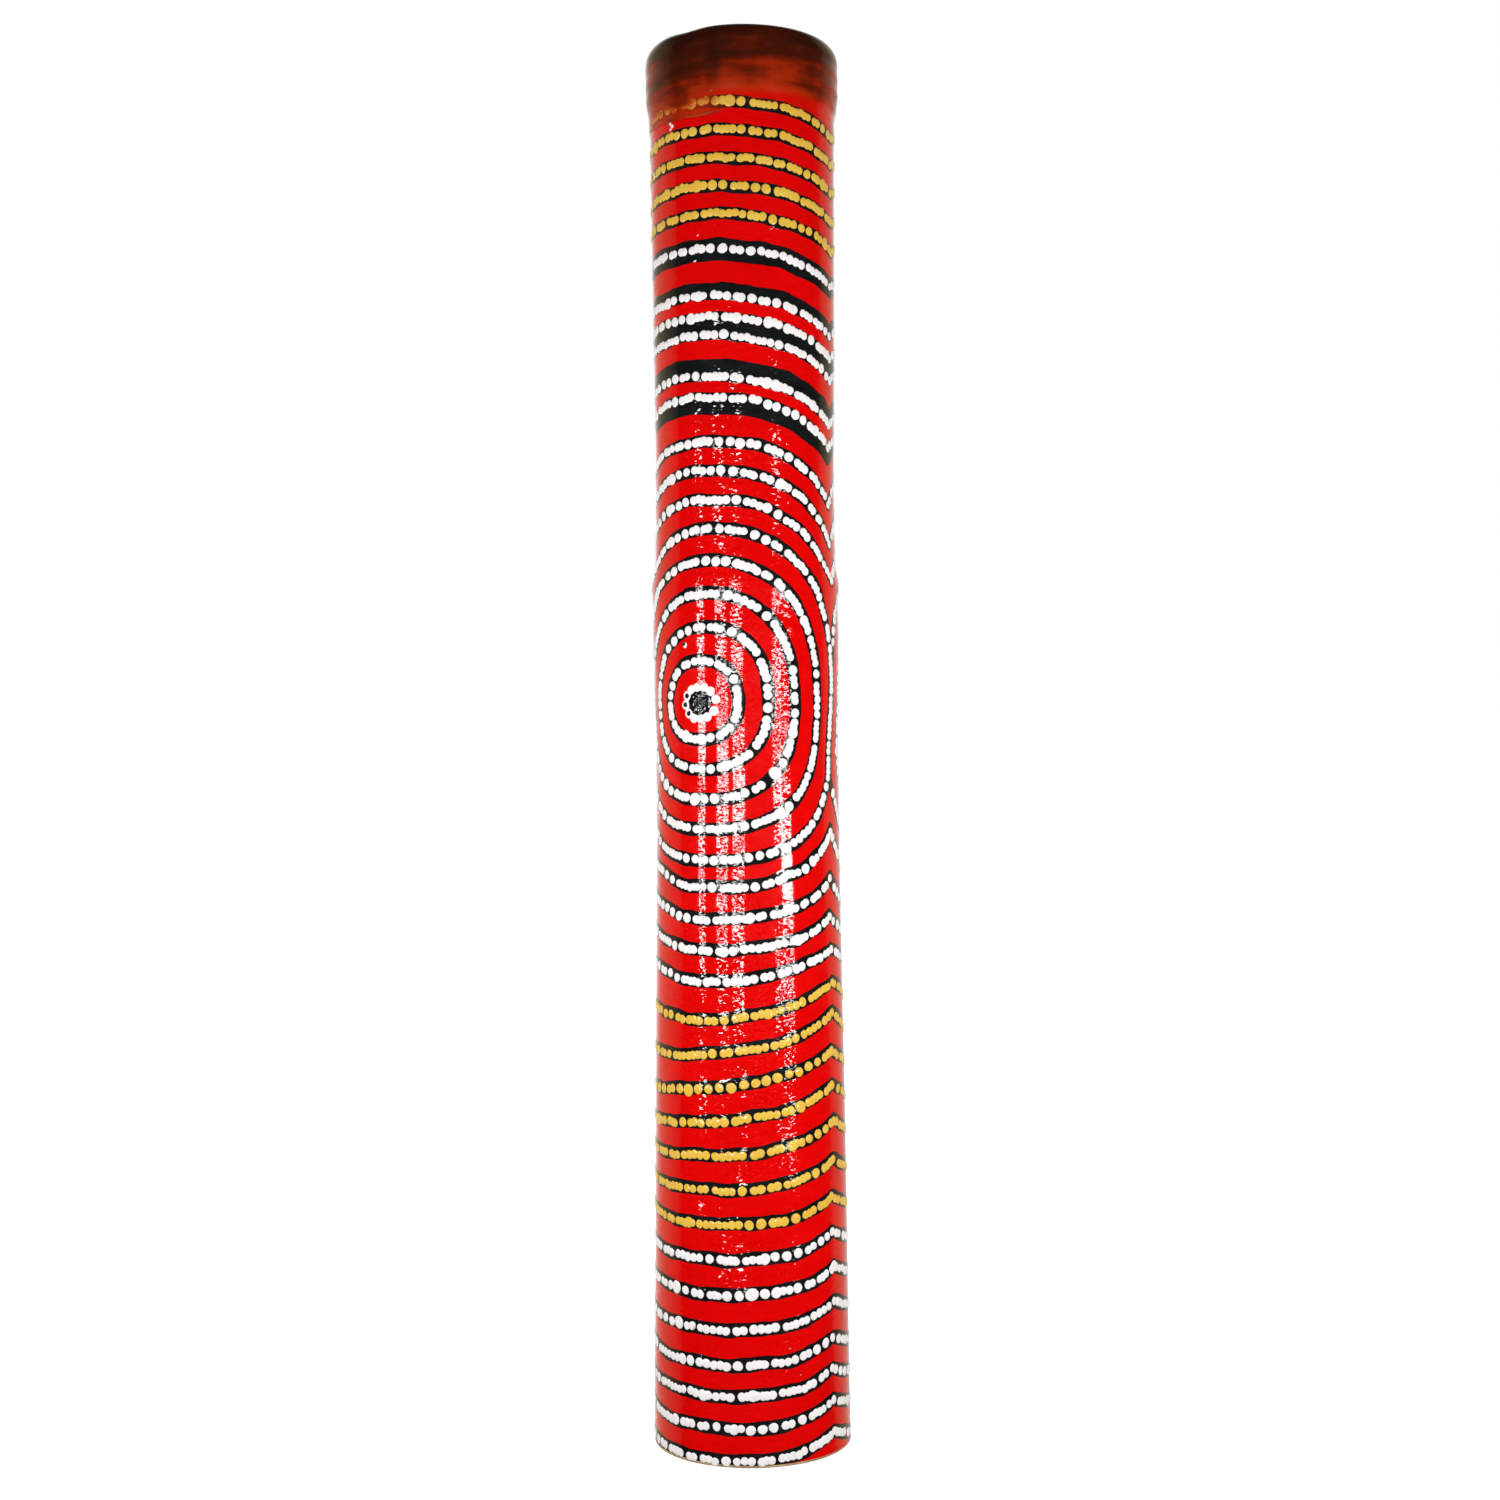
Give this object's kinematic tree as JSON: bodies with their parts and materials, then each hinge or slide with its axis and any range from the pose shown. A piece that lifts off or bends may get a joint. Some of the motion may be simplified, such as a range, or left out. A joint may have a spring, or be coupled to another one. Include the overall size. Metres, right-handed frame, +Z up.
{
  "type": "rainstick",
  "caption": "Upright painted bamboo rainstick: a tube plugged at both ends, a spiral of pegs across its bore, loose grains inside, and a skin shrunk over its top.",
  "frame": {"origin": "centre of the flat bottom end, on the surface that the stick stands on", "axes": "+Z up along the tube to the skin-covered end, -Y towards the front that the picture shows, +X to its right"},
  "size_m": [0.0564, 0.0564, 0.4],
  "materials": {
    "painted_bamboo": "gloss",
    "black_paint": "gloss",
    "white_paint": "gloss",
    "yellow_paint": "gloss",
    "varnished_hide": "gloss",
    "plug_wood": "satin",
    "bamboo_cane": "satin",
    "river_pebble": "satin"
  },
  "bodies": {
    "stick": {"bamboo_tube": "painted_bamboo", "end_skin": "varnished_hide", "top_plug": "plug_wood", "bottom_plug": "plug_wood", "peg_01": "bamboo_cane", "peg_02": "bamboo_cane", "peg_03": "bamboo_cane", "peg_04": "bamboo_cane", "peg_05": "bamboo_cane", "peg_06": "bamboo_cane", "peg_07": "bamboo_cane", "peg_08": "bamboo_cane", "peg_09": "bamboo_cane", "peg_10": "bamboo_cane", "peg_11": "bamboo_cane", "peg_12": "bamboo_cane", "peg_13": "bamboo_cane", "peg_14": "bamboo_cane", "peg_15": "bamboo_cane", "peg_16": "bamboo_cane", "peg_17": "bamboo_cane", "peg_18": "bamboo_cane", "peg_19": "bamboo_cane", "peg_20": "bamboo_cane", "peg_21": "bamboo_cane", "peg_22": "bamboo_cane", "peg_23": "bamboo_cane", "peg_24": "bamboo_cane", "peg_25": "bamboo_cane", "peg_26": "bamboo_cane", "peg_27": "bamboo_cane", "peg_28": "bamboo_cane", "peg_29": "bamboo_cane", "peg_30": "bamboo_cane", "peg_31": "bamboo_cane", "peg_32": "bamboo_cane"},
    "grains_01": {"grain_01": "river_pebble", "grain_02": "river_pebble"},
    "grains_02": {"grain_03": "river_pebble", "grain_04": "river_pebble"},
    "grains_03": {"grain_05": "river_pebble", "grain_06": "river_pebble"},
    "grains_04": {"grain_07": "river_pebble", "grain_08": "river_pebble"},
    "grains_05": {"grain_09": "river_pebble", "grain_10": "river_pebble"},
    "grains_06": {"grain_11": "river_pebble", "grain_12": "river_pebble"},
    "grains_07": {"grain_13": "river_pebble", "grain_14": "river_pebble"},
    "grains_08": {"grain_15": "river_pebble", "grain_16": "river_pebble"},
    "grains_09": {"grain_17": "river_pebble", "grain_18": "river_pebble"},
    "grains_10": {"grain_19": "river_pebble", "grain_20": "river_pebble"},
    "grains_11": {"grain_21": "river_pebble", "grain_22": "river_pebble"},
    "grains_12": {"grain_23": "river_pebble", "grain_24": "river_pebble"}
  },
  "joints": [
    {"name": "grains_01_fall", "type": "slide", "parent": "stick", "child": "grains_01", "axis": [0, 0, 1], "range_m": [0, 0.3726]},
    {"name": "grains_02_fall", "type": "slide", "parent": "stick", "child": "grains_02", "axis": [0, 0, 1], "range_m": [0, 0.3726]},
    {"name": "grains_03_fall", "type": "slide", "parent": "stick", "child": "grains_03", "axis": [0, 0, 1], "range_m": [0, 0.3726]},
    {"name": "grains_04_fall", "type": "slide", "parent": "stick", "child": "grains_04", "axis": [0, 0, 1], "range_m": [0, 0.3726]},
    {"name": "grains_05_fall", "type": "slide", "parent": "stick", "child": "grains_05", "axis": [0, 0, 1], "range_m": [0, 0.3726]},
    {"name": "grains_06_fall", "type": "slide", "parent": "stick", "child": "grains_06", "axis": [0, 0, 1], "range_m": [0, 0.3726]},
    {"name": "grains_07_fall", "type": "slide", "parent": "stick", "child": "grains_07", "axis": [0, 0, 1], "range_m": [0, 0.3726]},
    {"name": "grains_08_fall", "type": "slide", "parent": "stick", "child": "grains_08", "axis": [0, 0, 1], "range_m": [0, 0.3726]},
    {"name": "grains_09_fall", "type": "slide", "parent": "stick", "child": "grains_09", "axis": [0, 0, 1], "range_m": [0, 0.3726]},
    {"name": "grains_10_fall", "type": "slide", "parent": "stick", "child": "grains_10", "axis": [0, 0, 1], "range_m": [0, 0.3726]},
    {"name": "grains_11_fall", "type": "slide", "parent": "stick", "child": "grains_11", "axis": [0, 0, 1], "range_m": [0, 0.3726]},
    {"name": "grains_12_fall", "type": "slide", "parent": "stick", "child": "grains_12", "axis": [0, 0, 1], "range_m": [0, 0.3726]}
  ]
}
